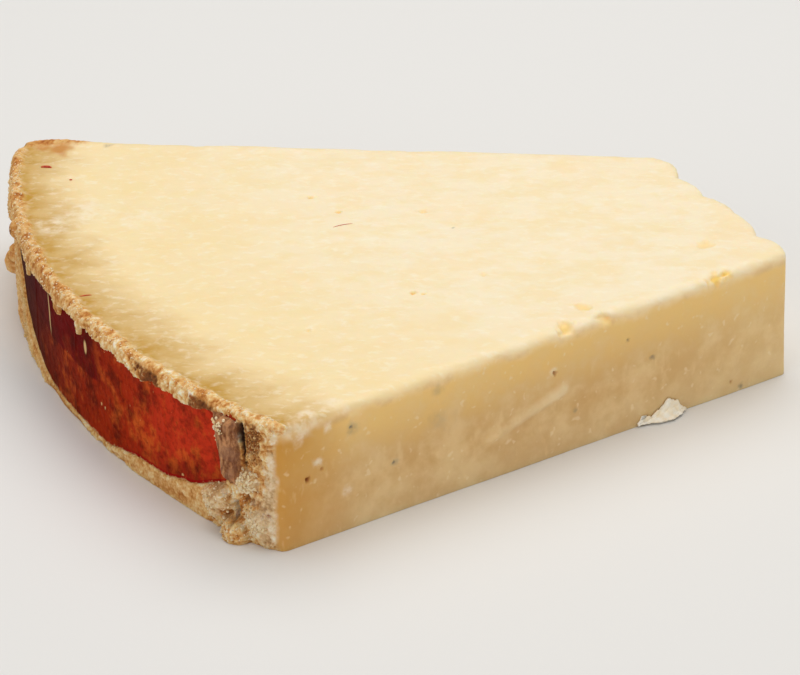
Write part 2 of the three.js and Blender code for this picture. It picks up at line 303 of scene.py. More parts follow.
@dataclass(frozen=True)
class Wheel:
    """The wheel that the piece was cut from, in the part's frame, and its cuts."""

    centre: Pair = (0.088625, 0.069065)
    radius: float = WHEEL_RADIUS * MM
    front: Cut = Cut(-56.2, 53.5 * MM)
    back: Cut = Cut(83.9, -18.5 * MM)
    top_height: float = 30.2 * MM
    top_slope: Pair = (0.02, 0.006)
    cusps: Line = (
        (-4.0, -65.3), (-8.9, -58.0), (-12.1, -45.9), (-18.0, -37.6), (-22.8, -27.4), (-24.5, -18.3)
    )
    bulge: float = 1.3 * MM
    lean: float = 2.2 * MM
    lean_reach: float = 48 * MM
    lean_fade: float = 14 * MM
    break_fade: float = 9 * MM

    def from_centre(self, place: Vector) -> Vector:
        """A place as seen from the wheel's axis."""
        return Vector((place.x - self.centre[0], place.y - self.centre[1], place.z))

    def at(self, degrees: float, height: float, radius: float) -> Vector:
        """The place at an angle round the wheel, a height and a radius."""
        x, y = (radius * turn(math.radians(degrees)) for turn in (math.cos, math.sin))
        return Vector((self.centre[0] + x, self.centre[1] + y, height))

    def on_front(self, along: float, height: float, proud: float = 0.0) -> Vector:
        """The place on the front cut at a distance along it and a height."""
        out = self.front.facing * (self.front.offset + proud) + self.front.heading * along
        return Vector((self.centre[0] + out.x, self.centre[1] + out.y, height))

    def top(self, spot: Vector) -> float:
        """The height of the top cut over a spot seen from the wheel's axis."""
        return self.top_height + self.top_slope[0] * spot.x + self.top_slope[1] * spot.y

    @cached_property
    def tip(self) -> Cut:
        """The plane that lies just outside the broken tip."""
        first, last = (Vector((*self.cusps[index], 0.0)) * MM for index in (0, -1))
        normal = (last - first).cross(UP).normalized()
        return Cut(math.degrees(math.atan2(normal.y, normal.x)), normal.dot(first) + self.bulge)

    @cached_property
    def creases(self) -> list[Pair]:
        """Where the scallops of the break meet: the place along the tip plane and the depth behind it."""
        cusps = [Vector((*cusp, 0.0)) * MM for cusp in self.cusps]
        return [(cusp.dot(self.tip.heading), self.tip.offset - cusp.dot(self.tip.facing)) for cusp in cusps]

    def break_depth(self, spot: Vector) -> float:
        """How far inside the tip plane the broken surface lies.

        Args:
            spot: A place seen from the wheel's axis.

        Returns:
            The depth.
        """
        across = spot.dot(self.tip.heading)
        for (start, deep), (end, deeper) in zip(self.creases, self.creases[1:]):
            if start <= across <= end:
                share = (across - start) / (end - start)
                return deep + (deeper - deep) * share - self.bulge * 4.0 * share * (1.0 - share)
        return self.creases[0][1] if across < self.creases[0][0] else self.creases[-1][1]


@dataclass(frozen=True)
class Lump:
    """A lump of crust: degrees round the wheel, height, reach and how proud, in millimetres."""

    at: float
    height: float
    reach: float
    proud: float
    smooth: float = 0.0


@dataclass(frozen=True)
class Upright:
    """A ridge or furrow that runs up the crust and leans as it rises, in degrees and millimetres."""

    at: float
    lean: float
    half: float
    out: float
    low: float
    high: float
    foot: float = 0.55

    def strength(self, degrees: float, height: float, spread: float = 1.0) -> float:
        """How far it stands at a place, as a rounded rib that narrows towards its foot.

        Args:
            degrees: The angle round the wheel.
            height: The height in millimetres.
            spread: How many times wider than itself it is taken to be.

        Returns:
            The strength, 1 along its middle.
        """
        if not self.low - 1.0 < height < self.high + 1.0:
            return 0.0
        middle = self.at + self.lean * (height - (self.low + self.high) / 2.0)
        wide = self.half * (self.foot + (1.0 - self.foot) * (height - self.low) / (self.high - self.low))
        ends = between(height, (self.low - 1.0, self.low + 1.0), (self.high - 1.0, self.high + 1.0))
        return ends * bump(abs(degrees - middle) * ARC, wide * spread)


@dataclass
class LabelShape:
    """Where the label lies on the rind, shared by its bed in the crust and by the label itself."""

    start: float = -164.3
    end: float = -132.8
    bed_radius: float = 174.1
    least_height: float = 0.9
    foot: Line = (
        (-164.3, 20.5), (-163.6, 17.5), (-162.8, 10.0), (-160.0, 5.0), (-157.5, 2.4), (-155.5, 1.3),
        (-150.0, 1.5), (-146.0, 1.4), (-143.6, 3.2), (-141.9, 4.2), (-139.0, 4.4), (-136.2, 6.3),
        (-132.8, 10.5),
    )
    head: Line = (
        (-164.3, 22.8), (-161.0, 22.0), (-156.0, 23.4), (-150.0, 24.3), (-144.0, 24.4), (-141.4, 22.8),
        (-138.0, 24.0), (-136.3, 23.2), (-134.6, 24.2), (-133.4, 25.4), (-131.4, 25.7),
    )
    side: Line = ((10.0, -132.8), (15.0, -132.8), (22.4, -133.55), (23.8, -133.5), (25.2, -131.7))
    tongues: tuple[Place, ...] = ((-153.2, 3.0, 1.8), (-149.4, 2.4, 1.0), (-160.6, 2.2, 0.9))

    def low(self, degrees: float) -> float:
        """The height of the arched lower edge, in millimetres."""
        return min(through(self.foot, degrees), self.high(degrees) - self.least_height)

    def high(self, degrees: float) -> float:
        """The height of the ragged upper edge, in millimetres."""
        slow = noise.noise(Vector((degrees / 0.9, 3.1, 0.7)))
        fast = noise.noise(Vector((degrees / 0.25, 8.3, 2.9)))
        tongues = sum(deep * bump((degrees - at) / 0.35, wide) for at, deep, wide in self.tongues)
        return through(self.head, degrees) + 0.55 * slow + 0.3 * fast - tongues

    def cover(self, degrees: float, height: float) -> float:
        """How far inside the label a place on the rind is, in millimetres, negative outside it."""
        ends = min(degrees - self.start, through(self.side, height) - degrees) * ARC
        return min(ends, height - self.low(degrees), self.high(degrees) - height)


# The marks on the paste


class Mark(Enum):
    """What a small mark on the paste is, which is also the name of its vertex attribute."""

    TEAR = "tear"
    MOULD = "mould"
    HOLE = "hole"
    SMEAR = "smear"
    CREASE = "crease"
    SCORCH = "scorch"


@dataclass(frozen=True)
class Spot:
    """A small mark on the paste."""

    mark: Mark
    place: Vector
    reach: float
    depth: float
    strength: float


# Each mark's x, y, reach and depth on the top face, in millimetres, and its strength
TOP_MARKS = {
    Mark.TEAR: (
        (-16.3, 34.2, 1.0, 0.7, 0.8), (-10.0, 26.5, 0.9, 0.6, 0.8), (8.5, 26.0, 1.3, 0.5, 0.5),
        (6.3, -12.6, 1.0, 0.8, 0.9), (8.4, -13.2, 0.7, 0.5, 0.7), (21.0, -5.0, 1.1, 0.3, 0.5),
        (36.6, -28.2, 2.6, 0.9, 0.7), (40.6, -20.2, 2.2, 0.6, 0.6), (44.5, -24.4, 2.6, 0.8, 0.55),
        (68.2, 6.7, 2.4, 0.4, 0.5), (68.9, -8.2, 2.6, 0.7, 1.0), (71.3, -6.2, 2.0, 0.5, 1.0),
        (71.5, 36.7, 1.2, 0.3, 0.4), (-14.7, -28.3, 0.7, 0.4, 0.5),
    ),
    Mark.SCORCH: ((-75.5, 63.0, 4.2, 0.0, 0.9), (-79.5, 64.5, 3.4, 0.0, 0.9)),
    Mark.MOULD: ((-64.3, 64.4, 1.5, 0.0, 0.8), (15.0, 17.5, 0.5, 0.1, 0.6)),
    Mark.SMEAR: (
        (-64.5, 28.5, 9.0, 0.0, 0.5), (-72.0, 21.5, 6.0, 0.0, 0.5), (-52.5, 24.5, 8.0, 0.0, 0.4),
        (-14.2, -62.5, 3.6, -0.1, 0.6), (-9.5, -57.5, 3.0, 0.0, 0.5),
    ),
}
# The same on the front cut, by the distance along it and the height
FRONT_MARKS = {
    Mark.MOULD: (
        (-149.2, 22.3, 1.9, 0.0, 0.4), (-149.5, 22.6, 0.6, 0.2, 1.0), (-139.4, 11.6, 1.3, 0.0, 0.4),
        (-139.6, 11.5, 0.6, 0.2, 1.0), (-129.6, 24.4, 1.8, 0.0, 0.25), (-128.8, 17.6, 3.2, 0.0, 0.2),
        (-95.4, 9.2, 0.9, 0.0, 0.5), (-82.4, 21.5, 0.6, 0.3, 1.0), (-75.8, 15.6, 0.9, 0.2, 1.0),
        (-121.9, 28.2, 1.0, 0.0, 0.5), (-50.6, 0.9, 1.1, 0.2, 0.8),
    ),
    Mark.HOLE: (
        (-100.9, 19.5, 0.7, 0.6, 0.6), (-159.2, 14.2, 0.75, 0.8, 0.9), (-156.2, 15.6, 0.5, 0.4, 0.5),
        (-53.6, 2.9, 0.5, 0.4, 0.5),
    ),
    Mark.SMEAR: (
        (-157.0, 17.2, 1.5, 0.0, 0.6), (-150.3, 8.9, 1.6, 0.0, 0.6), (-160.9, 25.2, 3.6, -0.1, 0.6),
        (-154.5, 24.4, 1.5, 0.0, 0.6), (-101.4, 20.2, 1.4, 0.0, 0.5),
    ),
    Mark.CREASE: tuple(
        (-117.0 + 0.65 * step, 9.2 + 0.21 * step, 1.6 + 0.02 * step, -0.2, 0.16 + 0.015 * step)
        for step in range(29)
    ),
}


# The rind


class Tone(Enum):
    """What a patch of the rind is made of, which is also the name of its vertex attribute; the last one is
    no material but painted shade in the crevice, the slit and at the feet of lumps.
    """

    STAIN = "stain"
    SKIN = "fold"
    PLASTER = "pallor"
    AMBER = "amber"
    # painted shade: dark brown where shade falls in the crevice, the slit and at the feet of lumps
    GAP = "gap"


@dataclass(frozen=True)
class Patch:
    """A patch on the rind: its degrees, and its height, half width and half height in millimetres."""

    tone: Tone
    at: float
    height: float
    wide: float
    tall: float
    strength: float = 1.0
    reach: float = 1.8

    def share(self, degrees: float, height: float) -> float:
        """How strong the patch is, with a ragged border.

        Args:
            degrees: The angle round the wheel.
            height: The height in millimetres.

        Returns:
            The strength, from 0 to 1.
        """
        across = (degrees - self.at) * ARC
        away = math.hypot(across / self.wide, (height - self.height) / self.tall)
        if away > self.reach:
            return 0.0
        place = Vector((across, height, self.at)) / 1.5
        away += 0.5 * noise.noise(place) + 0.35 * noise.noise(place * 2.6)
        return self.strength * (1.0 - smoothstep(away, 0.6, 1.1))


FOLD = Upright(at=-132.3, lean=-0.04, half=3.5, out=1.7, low=12.4, high=25.2)
CREVICE = Upright(at=-131.12, lean=-0.022, half=0.8, out=-2.2, low=16.0, high=25.8)
SLIT = Upright(at=-131.75, lean=-0.05, half=0.75, out=-1.6, low=2.4, high=8.0)
LUMPS = tuple(
    Lump(*row)
    for row in (
        (-168.8, 11.8, 3.0, 2.6, 1.0), (-167.8, 15.2, 2.3, 1.6, 1.0), (-165.4, 23.9, 2.4, 1.2, 0.8),
        (-174.5, 17.0, 4.0, 1.4), (-172.0, 8.0, 3.6, 1.1), (-133.3, 6.8, 3.7, 2.9),
        (-130.6, 13.7, 2.2, 2.2), (-129.9, 5.4, 2.1, 1.8), (-131.7, 1.2, 3.5, 3.3),
        (-128.9, 20.0, 4.2, 0.5),
    )
)
TONE_ROWS = {
    # brown stains; the small patch at -132.1 degrees and 11.9 mm is a painted shadow for a small hole
    Tone.STAIN: (
        (-140.1, 25.2, 5.0, 2.9, 0.78), (-134.6, 25.5, 4.8, 2.6, 0.78), (-130.35, 22.6, 2.9, 6.0, 0.75),
        (-130.6, 9.6, 2.2, 1.8, 0.6), (-129.2, 8.0, 1.5, 2.4, 0.5), (-131.6, 5.0, 1.2, 3.0, 0.5),
        (-132.1, 11.9, 0.8, 0.7), (-165.4, 24.0, 2.0, 1.7, 0.75),
    ),
    # pale plaster-like crust; the patch at -166.8 degrees on the lobe is a painted highlight
    Tone.PLASTER: (
        (-128.5, 13.0, 2.7, 15.0), (-129.2, 6.0, 3.9, 7.5, 0.8), (-130.6, 13.7, 2.4, 2.6, 0.8),
        (-129.9, 5.4, 2.2, 1.8, 0.9), (-133.3, 7.0, 3.8, 3.9, 0.8), (-166.8, 14.6, 1.0, 3.0, 1.0),
    ),
    Tone.AMBER: (
        (-168.9, 12.4, 3.8, 4.2), (-165.4, 23.8, 2.6, 2.0), (-139.0, 1.0, 9.0, 2.4, 0.4),
        (-131.7, 0.0, 3.4, 1.3, 1.0),
    ),
}
PATCHES = tuple(Patch(tone, *row) for tone, rows in TONE_ROWS.items() for row in rows)


@dataclass(frozen=True)
class Crust:
    """The relief and the colouring of the rind, with places in degrees and sizes in millimetres."""

    label: LabelShape
    lip_width: float = 3.3
    wall_width: float = 0.9
    back_lip: float = 26.0
    crag_size: float = 3.6
    crumb_size: float = 1.25
    grit_size: float = 0.55
    crags: float = 0.5
    overhang: float = 0.55
    # how much wider than the crevice and the slit their painted shade reaches
    shade_spread: float = 1.2
    foot_shade: float = 0.06
    ridge_step: float = 2.1
    strip: tuple[Pair, Pair] = ((-170.0, -166.0), (-152.0, -147.0))
    plain: tuple[Pair, Pair] = ((-146.0, -141.0), (-134.6, -133.4))
    corner: Pair = (-134.8, -134.0)
    corner_top: Pair = (12.0, 16.0)
    calm: Pair = (-162.0, -145.0)
    amber: Pair = (-160.0, -138.0)

    def share(self, place: Vector, inside: float, back: float, drop: float) -> float:
        """How much of the surface is crust.

        Args:
            place: The place on the surface.
            inside: The distance in from the wheel's wall, in millimetres.
            back: The distance in from the back cut, in millimetres.
            drop: The distance below the top face, in millimetres.

        Returns:
            1 on the rind, 0 on the paste, with a ragged border between them.
        """
        on_top = 1.0 - smoothstep(drop, 0.4, 2.4)
        width = self.wall_width + (self.lip_width - self.wall_width) * on_top
        edge = inside
        if on_top > 0.0 and inside < self.back_lip:
            edge = min(inside, back + 6.0 * inside / self.back_lip - 2.5 + 4.0 * (1.0 - on_top))
        ragged = 0.9 * hills(place, 3.1) + 0.55 * hills(place, 1.1)
        soft = 0.3 + 1.3 * on_top
        return 1.0 - smoothstep(edge + ragged * min(1.0, 0.7 * width - 0.3), width - soft, width + 0.5)

    def at(
        self, place: Vector, degrees: float, height: float, steep: float, on_top: float
    ) -> tuple[float, dict[str, float]]:
        """The crust's relief and colouring at a place.

        Args:
            place: The place on the surface.
            degrees: The angle round the wheel.
            height: The height in millimetres.
            steep: 1 on the wall, 0 on the top face.
            on_top: 1 on the lip on the top face, 0 on the wall.

        Returns:
            The relief in millimetres and the vertex attributes of the crust.
        """
        tones = {tone: 0.0 for tone in Tone}
        for patch in PATCHES:
            if abs(degrees - patch.at) * ARC < patch.reach * patch.wide:
                facing = 1.0 - on_top if patch.tone is Tone.STAIN else steep
                tones[patch.tone] = max(tones[patch.tone], patch.share(degrees, height) * facing)
        low, high = self.label.low(degrees), self.label.high(degrees)
        below = 1.0 - smoothstep(height, low - 0.3, low + 1.2)
        strip = below * between(degrees, *self.strip)
        smooth = max(0.9 * strip, 0.75 * below * between(degrees, *self.plain))
        lumps, shade = 0.0, 0.0
        for lump in LUMPS:
            if abs(degrees - lump.at) * ARC < lump.reach:
                swell = bump(math.hypot((degrees - lump.at) * ARC, height - lump.height), lump.reach)
                smooth = max(smooth, lump.smooth * smoothstep(swell, 0.1, 0.6))
                lumps += lump.proud * swell
                # painted shade at the foot of each lump
                foot = between(swell, (0.0, 0.1), (0.35, 0.85))
                shade = max(shade, self.foot_shade * lump.proud * foot)
        fold, crevice, slit = (rib.strength(degrees, height) * steep for rib in (FOLD, CREVICE, SLIT))
        # painted shade: the crevice, the slit and the feet of the lumps are darkened in colour where shade
        # falls
        gap, slit_shade = (rib.strength(degrees, height, self.shade_spread) ** 2 for rib in (CREVICE, SLIT))
        tones[Tone.GAP] = max(gap, 0.3 * slit_shade, shade) * steep
        tones[Tone.SKIN] = smoothstep(fold, 0.0, 0.12)
        warped = place + noise.noise_vector(place / (2.4 * MM)) * (0.8 * MM)
        rock = noise.ridged_multi_fractal(warped / (self.crag_size * MM), 0.9, 2.1, 4, 0.9, 1.7) - 0.77
        crumb = crumbs(warped, self.crumb_size) - 0.55
        grit = hills(warped, self.grit_size) + 0.6 * hills(warped, 0.5 * self.grit_size)
        rough = (1.0 - 0.92 * smooth) * (1.0 - 0.85 * fold) * (1.0 - 0.5 * tones[Tone.PLASTER])
        rough *= 1.0 + 0.4 * smoothstep(degrees, *self.corner) * (1.0 - smoothstep(height, *self.corner_top))
        lively = (0.75 + 0.8 * hills(place, 11)) * (0.5 + 0.5 * smoothstep(degrees, *self.calm))
        rim = smoothstep(height, high - 0.2, high + 0.9)
        stones = self.crags * rock * (1.0 - 0.4 * rim) + 0.34 * crumb
        relief = -0.25 + 0.4 * hills(place, 8.5) + rough * lively * stones * (1.0 - 0.45 * on_top)
        relief += 0.17 * grit * (0.3 + 0.7 * rough) + lumps
        step = math.pi * (low - height + 0.4 * hills(place, 6)) / self.ridge_step
        ridge = 1.0 - abs(math.sin(step)) ** 0.7
        relief += 0.75 * strip * ridge
        relief += FOLD.out * fold + CREVICE.out * crevice + SLIT.out * slit
        relief += self.overhang * rim * (1.0 - fold)
        if steep > 0.0:
            bedded = smoothstep(self.label.cover(degrees, height), -0.5, 0.1)
            bedded *= 1.0 - smoothstep(fold, 0.0, 0.3)
            relief += (self.label.bed_radius - WHEEL_RADIUS - relief) * bedded
        relief += on_top * (0.3 - 0.2 * relief)
        # the colour level follows the relief: partly the crust's own colour, partly painted shade in hollows
        # and painted highlight on crowns and ridges
        grain = (0.4 + 0.6 * rough) * (0.4 * rock + 0.4 * crumb + 0.24 * grit)
        level = 0.5 + grain + strip * (0.45 * ridge - 0.2)
        tones[Tone.AMBER] = max(tones[Tone.AMBER], 0.6 * (1.0 - smoothstep(degrees, *self.amber)))
        return relief, {"relief": min(1.0, max(0.0, level)), **{tone.value: tones[tone] for tone in Tone}}


# The cheese


@dataclass
class Cheese:
    """The paste and its rind as one closed mesh."""

    wheel: Wheel
    label: LabelShape
    voxel: float = 1.06 * MM
    segments: int = 900
    sunk: float = 3.0 * MM
    small_reach: float = 1.3 * MM
    margin: float = 1.2 * MM
    edge_radius: float = 1.2 * MM
    front_edge_radius: float = 2.6 * MM
    crust_edge_radius: float = 2.2 * MM
    corner_radii: tuple[float, ...] = (3.0 * MM, 1.6 * MM, 4.0 * MM, 9.0 * MM)
    corners: tuple[tuple[str, str], ...] = (
        ("rind", "front"), ("front", "tip"), ("tip", "back"), ("back", "rind")
    )

    def spots(self) -> list[Spot]:
        """Place the small marks on the top face and on the front cut.

        Returns:
            The marks.
        """
        spots = []
        for on_top, marks in ((True, TOP_MARKS), (False, FRONT_MARKS)):
            for mark, rows in marks.items():
                for first, second, reach, depth, strength in rows:
                    place = Vector((first * MM, second * MM, 0.0))
                    if on_top:
                        place.z = self.wheel.top(self.wheel.from_centre(place))
                    else:
                        place = self.wheel.on_front(first * MM, second * MM)
                    spots.append(Spot(mark, place, reach * MM, depth * MM, strength))
        return spots

    def build(self) -> Piece:
        """Cut the piece from a wheel, remesh it evenly, refine it and raise its relief.

        Returns:
            The cheese as a new object.
        """
        piece = remeshed(as_object("cheese_body", self.carve()), self.voxel)
        bm = bmesh.new()
        bm.from_mesh(piece.data)
        spots = self.spots()
        small = [spot for spot in spots if spot.reach < self.small_reach or spot.mark is Mark.TEAR]
        self.refine(bm, lambda place: self.on_crust(place) or self.near(place, spots, self.margin))
        self.refine(bm, lambda place: self.on_crust(place) or self.near(place, small, self.margin / 2.0))
        self.shape(bm)
        self.raise_relief(bm, spots)
        slice_off(bm, Vector(), -UP)
        bm.to_mesh(piece.data)
        bm.free()
        piece.data.shade_smooth()
        return piece

    def carve(self) -> BMesh:
        """Cut a wheel that reaches below the table along the top, the front, the back and the tip.

        Returns:
            The plain wedge.
        """
        bm = bmesh.new()
        bmesh.ops.create_circle(bm, cap_ends=True, segments=self.segments, radius=self.wheel.radius)
        risen = bmesh.ops.extrude_face_region(bm, geom=bm.faces[:])
        rim = [item for item in risen["geom"] if isinstance(item, Vert)]
        bmesh.ops.translate(bm, verts=rim, vec=UP * self.wheel.top_height * 1.3)
        bmesh.ops.translate(bm, verts=bm.verts[:], vec=UP * -self.sunk)
        for cut in (self.wheel.front, self.wheel.back, self.wheel.tip):
            slice_off(bm, cut.facing * cut.offset, cut.facing)
        slope = Vector((-self.wheel.top_slope[0], -self.wheel.top_slope[1], 1.0))
        slice_off(bm, UP * self.wheel.top_height, slope)
        bmesh.ops.translate(bm, verts=bm.verts[:], vec=(*self.wheel.centre, 0.0))
        bmesh.ops.recalc_face_normals(bm, faces=bm.faces[:])
        return bm

    def depths(self, spot: Vector) -> dict[str, tuple[float, Vector]]:
        """How far inside each wall a spot lies, and which way that wall faces.

        Args:
            spot: A place seen from the wheel's axis.

        Returns:
            The depth and the outward direction for each side.
        """
        wheel = self.wheel
        flat = Vector((spot.x, spot.y, 0.0))
        radius = max(flat.length, 1e-9)
        cuts = {"front": wheel.front, "back": wheel.back, "tip": wheel.tip}
        walls = {side: (cut.offset - flat.dot(cut.facing), cut.facing) for side, cut in cuts.items()}
        return {"rind": (wheel.radius - radius, flat / radius), **walls}

    def on_crust(self, place: Vector) -> bool:
        """Whether a place is on the crust and not under the label."""
        spot = self.wheel.from_centre(place)
        if math.hypot(spot.x, spot.y) < self.wheel.radius - 4.0 * MM or place.z < -0.5 * MM:
            return False
        return self.label.cover(math.degrees(math.atan2(spot.y, spot.x)), place.z / MM) < 1.0

    @staticmethod
    def near(place: Vector, marks: list[Spot], margin: float) -> bool:
        """Whether a place is within a margin of one of the marks."""
        return any(
            abs(place.x - mark.place.x) < mark.reach + margin
            and (place - mark.place).length < mark.reach + margin
            for mark in marks
        )

    @staticmethod
    def refine(bm: BMesh, wanted: Callable[[Vector], bool]) -> None:
        """Split the edges of every face whose middle is wanted."""
        faces = [face for face in bm.faces if wanted(face.calc_center_median())]
        edges = dict.fromkeys(edge for face in faces for edge in face.edges)
        bmesh.ops.subdivide_edges(bm, edges=list(edges), cuts=1, use_grid_fill=True)

    def shape(self, bm: BMesh) -> None:
        """Round the corners and the top edge, break the tip and let the break lean.

        Args:
            bm: The refined wedge.
        """
        wheel = self.wheel
        for vert in bm.verts:
            spot = wheel.from_centre(vert.co)
            walls = self.depths(spot)
            tip_depth, tip_facing = walls["tip"]
            lean = self.leaning(spot, tip_depth, walls["front"][0])
            if tip_depth < wheel.break_fade:
                fade = 1.0 - max(0.0, tip_depth) / wheel.break_fade
                spot -= tip_facing * (wheel.break_depth(spot) * fade)
                walls = self.depths(spot)
                walls["tip"] = (walls["tip"][0] - wheel.break_depth(spot), tip_facing)
            side = min(walls, key=lambda name: walls[name][0])
            depth, facing = walls[side]
            for (one, other), radius in zip(self.corners, self.corner_radii):
                turned = round_off(walls[one], walls[other], radius)
                if turned:
                    shift, depth, facing = turned
                    spot += shift
            edge = round_off((wheel.top(spot) - spot.z, UP), (depth, facing), self.top_radius(side, spot))
            if edge:
                spot += edge[0]
            spot += lean
            vert.co = (spot.x + wheel.centre[0], spot.y + wheel.centre[1], spot.z)

    def leaning(self, spot: Vector, depth: float, beside: float) -> Vector:
        """How far the foot of the break leans out at a place.

        Args:
            spot: The place seen from the wheel's axis.
            depth: Its depth behind the tip plane.
            beside: Its depth behind the front cut.

        Returns:
            The shift of the place.
        """
        wheel = self.wheel
        share = 1.0 - smoothstep(beside, 0.0, wheel.lean_reach)
        foot = min(1.0, 1.0 - spot.z / wheel.top_height)
        fade = 1.0 - smoothstep(depth, 0.0, wheel.lean_fade)
        return wheel.front.heading * (wheel.lean * share * foot * fade)

    def top_radius(self, side: str, spot: Vector) -> float:
        """How far the top edge is rounded over, on each side and along the front."""
        if side == "front":
            return self.front_edge_radius * (0.9 + (0.45 * hills(spot, 11) + 0.35 * hills(spot, 4)))
        return self.crust_edge_radius if side == "rind" else self.edge_radius

    def raise_relief(self, bm: BMesh, spots: list[Spot]) -> None:
        """Raise crust and curd on the shaped mesh, and keep what the finishes read at its vertices.

        Args:
            bm: The shaped mesh.
            spots: The small marks on the paste.
        """
        bm.normal_update()
        names = ["crust", "relief", "drop", "inside"]
        names += [item.value for kind in (Tone, Mark) for item in kind]
        layers = {name: bm.verts.layers.float.new(name) for name in names}
        crust = Crust(self.label)
        back = self.wheel.back
        moved: list[tuple[Vert, Vector]] = []
        for vert in bm.verts:
            place = vert.co
            spot = self.wheel.from_centre(place)
            normal = vert.normal
            inside = (self.wheel.radius - math.hypot(spot.x, spot.y)) / MM
            drop = (self.wheel.top(spot) - place.z) / MM
            behind = (back.offset - spot.x * back.facing.x - spot.y * back.facing.y) / MM
            vert[layers["inside"]] = inside
            vert[layers["drop"]] = drop
            if place.z < -1.2 * MM:
                continue
            share = crust.share(place, inside, behind, drop)
            vert[layers["crust"]] = share
            rise = self.curd(place, normal) * (1.0 - share)
            if share > 0.0:
                degrees = math.degrees(math.atan2(spot.y, spot.x))
                steep = 1.0 - smoothstep(normal.z, 0.3, 0.7)
                on_top = smoothstep(normal.z, 0.5, 0.9)
                relief, tones = crust.at(place, degrees, place.z / MM, steep, on_top)
                tones[Tone.AMBER.value] = max(tones[Tone.AMBER.value], 1.0 - smoothstep(behind, 2.0, 8.0))
                for name, value in tones.items():
                    vert[layers[name]] = value
                rise += relief * share
            shift = normal * (rise * MM)
            for mark in spots:
                if abs(place.x - mark.place.x) < mark.reach * 1.5:
                    away = (place - mark.place).length
                    if away < mark.reach * 1.5:
                        self.press(vert, layers[mark.mark.value], mark, away, shift)
            moved.append((vert, place + shift))
        for vert, place in moved:
            vert.co = place

    @staticmethod
    def press(vert: Vert, layer: bmesh.types.BMLayerItem, mark: Spot, away: float, shift: Vector) -> None:
        """Press one mark into a vertex.

        Args:
            vert: The vertex.
            layer: The mark's vertex attribute.
            mark: The mark.
            away: How far the vertex is from the middle of the mark.
            shift: The vertex's displacement, which is changed.
        """
        rags = 0.0 if mark.mark is Mark.CREASE else 0.6
        torn = 1.0 + rags * noise.noise(vert.co / (0.45 * mark.reach + 0.25 * MM))
        strength = 1.0 - smoothstep(away * torn, 0.2 * mark.reach, mark.reach)
        vert[layer] = max(vert[layer], strength * mark.strength)
        shift -= vert.normal * (mark.depth * strength)

    @staticmethod
    def curd(place: Vector, normal: Vector) -> float:
        """The soft relief of cut curd in millimetres: low waves and small flakes."""
        flat = Vector((place.x * 0.55, place.y, place.z)) / (2.6 * MM)
        flake = noise.noise(flat) + 0.5 * noise.noise(flat * 2.3)
        return 0.22 * hills(place, 14) + (0.075 if normal.z > 0.5 else 0.05) * flake


def round_off(one: tuple[float, Vector], other: tuple[float, Vector], radius: float) -> tuple | None:
    """Round the edge between two faces.

    Args:
        one: Depth behind the first face and the way it faces.
        other: Depth behind the second face and the way it faces.
        radius: The radius of the rounded edge.

    Returns:
        The shift that brings the place onto or below the rounded edge, its depth there and the way
        the edge faces, or None away from the edge.
    """
    first, second = radius - one[0], radius - other[0]
    if first <= 0.0 or second <= 0.0:
        return None
    away = math.hypot(first, second)
    facing = ((one[1] * first + other[1] * second) / away).normalized()
    return facing * -max(0.0, away - radius), max(0.0, radius - away), facing


def slice_off(bm: BMesh, place: Vector, facing: Vector) -> None:
    """Cut away what lies beyond a plane and close the cut with a flat face.

    Args:
        bm: The mesh.
        place: A point of the plane.
        facing: The plane's normal, towards what goes.
    """
    whole = bm.verts[:] + bm.edges[:] + bm.faces[:]
    cut = bmesh.ops.bisect_plane(
        bm, geom=whole, dist=1e-7, plane_co=place, plane_no=facing, clear_outer=True
    )
    rim = [item for item in cut["geom_cut"] if isinstance(item, bmesh.types.BMEdge)]
    bmesh.ops.holes_fill(bm, edges=rim)
    for edge in rim:
        edge.smooth = False


def as_object(name: str, bm: BMesh) -> Piece:
    """Turn a bmesh into a smooth object in the scene and free it.

    Args:
        name: The object's name.
        bm: The mesh.

    Returns:
        The new object.
    """
    mesh = bpy.data.meshes.new(name)
    bm.to_mesh(mesh)
    bm.free()
    mesh.shade_smooth()
    piece = bpy.data.objects.new(name, mesh)
    bpy.context.scene.collection.objects.link(piece)
    return piece


def remeshed(piece: Piece, voxel: float) -> Piece:
    """Give a piece an even mesh of quads of about voxel metres, and hand it back."""
    modifier = piece.modifiers.new("even", "REMESH")
    modifier.mode = "VOXEL"
    modifier.voxel_size = voxel
    even = bpy.data.meshes.new_from_object(piece.evaluated_get(bpy.context.evaluated_depsgraph_get()))
    piece.modifiers.clear()
    piece.data = even
    return piece


# The label

# Bare spots on the label: degrees, height, half width and half height in millimetres
BLOTS = (
    (-155.4, 18.8, 0.32, 5.0), (-148.75, 20.0, 0.6, 1.5), (-146.7, 9.8, 0.3, 0.3), (-146.2, 9.5, 0.25, 0.25),
    (-137.0, 6.9, 0.3, 0.25),
)
# Creases in the label: degrees, and degrees that they lean for each millimetre up
WRINKLES = ((-141.9, 0.02), (-138.6, -0.03), (-150.6, 0.03), (-159.0, 0.02))


